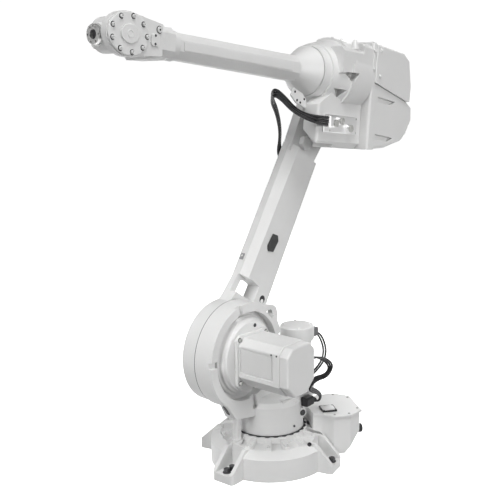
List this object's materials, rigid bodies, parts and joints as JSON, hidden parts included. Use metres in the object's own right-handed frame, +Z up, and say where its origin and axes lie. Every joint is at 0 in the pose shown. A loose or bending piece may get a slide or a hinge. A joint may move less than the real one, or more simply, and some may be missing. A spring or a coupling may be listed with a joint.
{
  "type": "industrial robot arm",
  "caption": "Floor-standing articulated robot arm with turning frame, leaning lower arm, slender upper arm, forked wrist and bolted tool flange for factory handling work.",
  "frame": {"origin": "on the floor under the turning axis of the base, on the underside of the base casting", "axes": "+Z up, +X away from the rear connection box, +Y to the left seen from behind the box"},
  "size_m": [1.4748, 1.1808, 1.7768],
  "materials": {
    "white_paint": "smooth light grey machine paint on castings",
    "black_plastic": "black moulded plugs and covers",
    "dark_connector": "dark grey connector hoods",
    "plated_metal": "bright plated connectors and plate",
    "white_plastic": "white moulded caps",
    "machined_steel": "bare machined tool flange",
    "cable_rubber": "black cable sheath"
  },
  "bodies": {
    "base": {"base_casting": "white_paint", "rear_box": "white_paint", "rear_box_lid": "white_paint", "lid_cover": "black_plastic", "rear_plug": "black_plastic", "stop_post": "white_paint"},
    "turret": {"turret_casting": "white_paint", "axis2_bell_flange": "white_paint", "axis2_motor_flange": "white_paint", "axis2_motor_body": "white_paint", "axis2_motor_panel": "white_paint", "axis2_motor_cap": "white_paint", "axis1_motor_flange": "white_paint", "axis1_motor_body": "white_paint", "axis1_motor_cap": "white_paint", "axis1_connector": "dark_connector", "axis2_connector": "dark_connector", "cable_gland": "black_plastic", "neck_boss_plug": "black_plastic", "web_plug": "black_plastic", "axis2_cables": "cable_rubber", "axis1_cables": "cable_rubber"},
    "lower_arm": {"lower_arm_casting": "white_paint", "side_plug": "black_plastic", "front_plug": "black_plastic", "elbow_cap": "white_plastic", "hub_cover": "white_paint", "elbow_cover": "white_paint", "arm_cable_clamp": "black_plastic"},
    "elbow": {"elbow_housing": "white_paint", "cover_flange": "white_paint", "rear_cover": "white_paint", "low_cover": "white_paint", "connector_plate": "plated_metal", "connectors": "plated_metal", "top_lug": "white_paint", "cable_bracket": "white_paint", "connector_hood": "plated_metal", "elbow_cables": "cable_rubber"},
    "upper_arm": {"arm_tube": "white_paint", "side_panel_left": "white_paint", "side_panel_right": "white_paint", "wrist_housing": "white_paint", "wrist_cover_left": "white_paint", "wrist_cap_left": "white_paint", "wrist_cover_right": "white_paint", "wrist_cap_right": "white_paint", "neck_plug": "white_plastic", "neck_plate": "white_plastic"},
    "tilt": {"tilt_unit": "white_paint"},
    "tool": {"tool_flange": "machined_steel"}
  },
  "joints": [
    {"name": "axis_1", "type": "hinge", "parent": "base", "child": "turret", "pos_m": [0, 0, 0], "axis": [0, 0, 1], "range_deg": [-217.6, 142.4]},
    {"name": "axis_2", "type": "hinge", "parent": "turret", "child": "lower_arm", "pos_m": [0.13865, 0.10677, 0.495], "axis": [-0.6101, 0.7923, 0], "range_deg": [-56, 139]},
    {"name": "axis_3", "type": "hinge", "parent": "lower_arm", "child": "elbow", "pos_m": [-0.34648, -0.26683, 1.4028], "axis": [0.6101, -0.7923, 0], "range_deg": [-47, 208], "deforming": ["elbow_cables"]},
    {"name": "axis_4", "type": "hinge", "parent": "elbow", "child": "upper_arm", "pos_m": [-0.36097, -0.27799, 1.57684], "axis": [0.7879, 0.6068, 0.1045], "range_deg": [-400, 400]},
    {"name": "axis_5", "type": "hinge", "parent": "upper_arm", "child": "tilt", "pos_m": [0.61687, 0.47506, 1.70656], "axis": [-0.6101, 0.7923, 0], "range_deg": [-131, 114]},
    {"name": "axis_6", "type": "hinge", "parent": "tilt", "child": "tool", "pos_m": [0.61687, 0.47506, 1.70656], "axis": [0.7923, 0.6101, 0], "range_deg": [-400, 400]}
  ]
}
